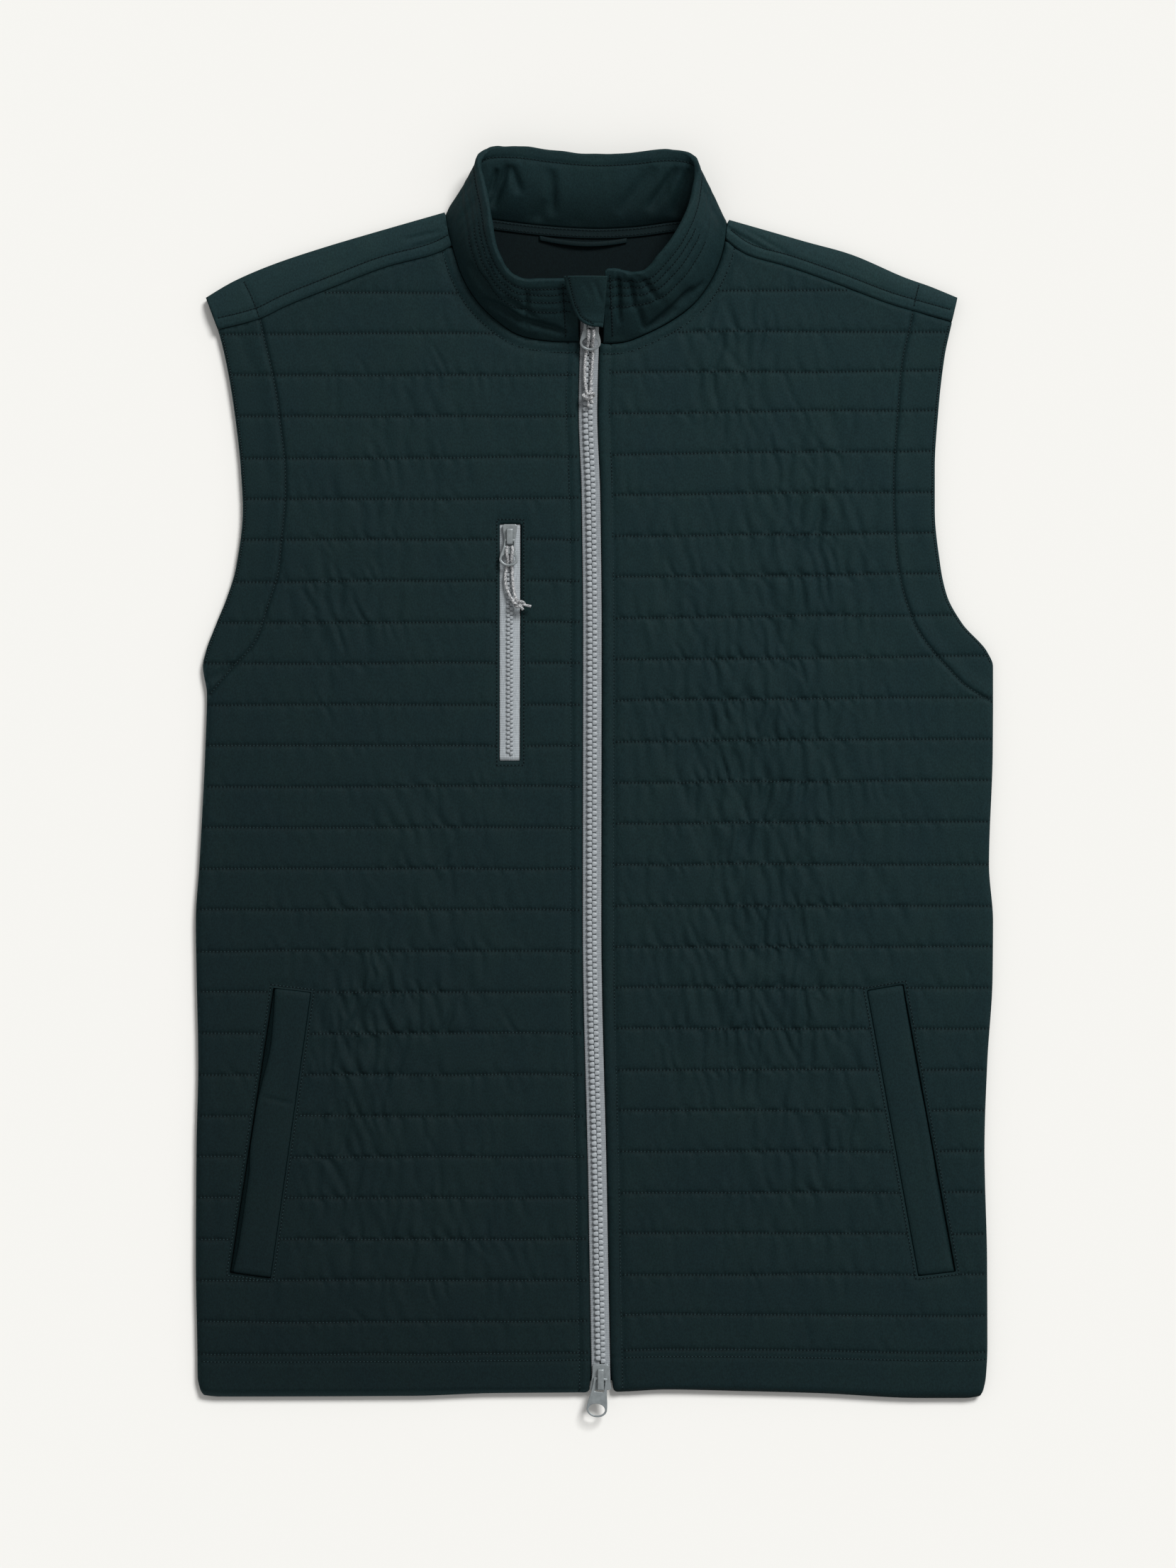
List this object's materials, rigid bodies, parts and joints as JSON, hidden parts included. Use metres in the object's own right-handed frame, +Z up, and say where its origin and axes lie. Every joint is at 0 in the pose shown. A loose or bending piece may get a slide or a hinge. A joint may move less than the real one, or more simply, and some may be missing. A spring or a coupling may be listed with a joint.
{
  "type": "quilted zip vest",
  "caption": "Sleeveless quilted vest with a stand collar, full front zip, zipped chest pocket and slanted welt pockets, laid flat on its back.",
  "frame": {"origin": "on the surface the vest lies on, under the middle of the outline of everything but the cords", "axes": "+X to the wearer's left, +Y from the hem to the collar, +Z up from the surface the back lies on"},
  "size_m": [0.4942, 0.7858, 0.0384],
  "materials": {
    "shell": "matt closely woven polyester over light wadding, quilted in level rows, with a faint sheen",
    "yoke": "the same woven polyester, plain and unquilted, looking a little lighter",
    "lining": "dark smooth lining cloth",
    "zip_tape": "grey woven zip tape",
    "zip_plastic": "grey moulded teeth and coil",
    "zip_metal": "grey enamelled sliders and pull tabs",
    "cord": "grey twisted cord with light flecks"
  },
  "bodies": {
    "vest": {"back": "lining", "front_right": "shell", "front_left": "shell", "yoke_right": "yoke", "yoke_left": "yoke", "collar": "shell", "neck_tape": "lining", "hanger_loop": "shell", "zip_garage": "yoke", "welt_right": "shell", "welt_left": "shell", "zip_tape_right": "zip_tape", "zip_tape_left": "zip_tape", "zip_chain": "zip_plastic", "zip_slider_top": "zip_metal", "zip_slider_bottom": "zip_metal", "chest_zip_tape": "zip_tape", "chest_zip_chain": "zip_plastic", "chest_zip_slider": "zip_metal"},
    "top_pull": {"zip_pull_top": "zip_metal", "cord_top_right": "cord", "cord_top_left": "cord", "knot_top": "cord"},
    "chest_pull": {"chest_zip_pull": "zip_metal", "cord_chest_right": "cord", "cord_chest_left": "cord", "knot_chest": "cord"},
    "bottom_pull": {"zip_pull_bottom": "zip_metal"}
  },
  "joints": [
    {"name": "top_pull_swing", "type": "hinge", "parent": "vest", "child": "top_pull", "pos_m": [-0.0022, 0.28362, 0.015], "axis": [-0.9994, 0.0349, 0], "range_deg": [0, 20]},
    {"name": "chest_pull_swing", "type": "hinge", "parent": "vest", "child": "chest_pull", "pos_m": [-0.0524, 0.15, 0.00875], "axis": [-0.9981, 0.0611, 0], "range_deg": [0, 100]},
    {"name": "bottom_pull_swing", "type": "hinge", "parent": "vest", "child": "bottom_pull", "pos_m": [0.00389, -0.3692, 0.00815], "axis": [-0.9914, 0.1305, 0], "range_deg": [0, 150]}
  ]
}
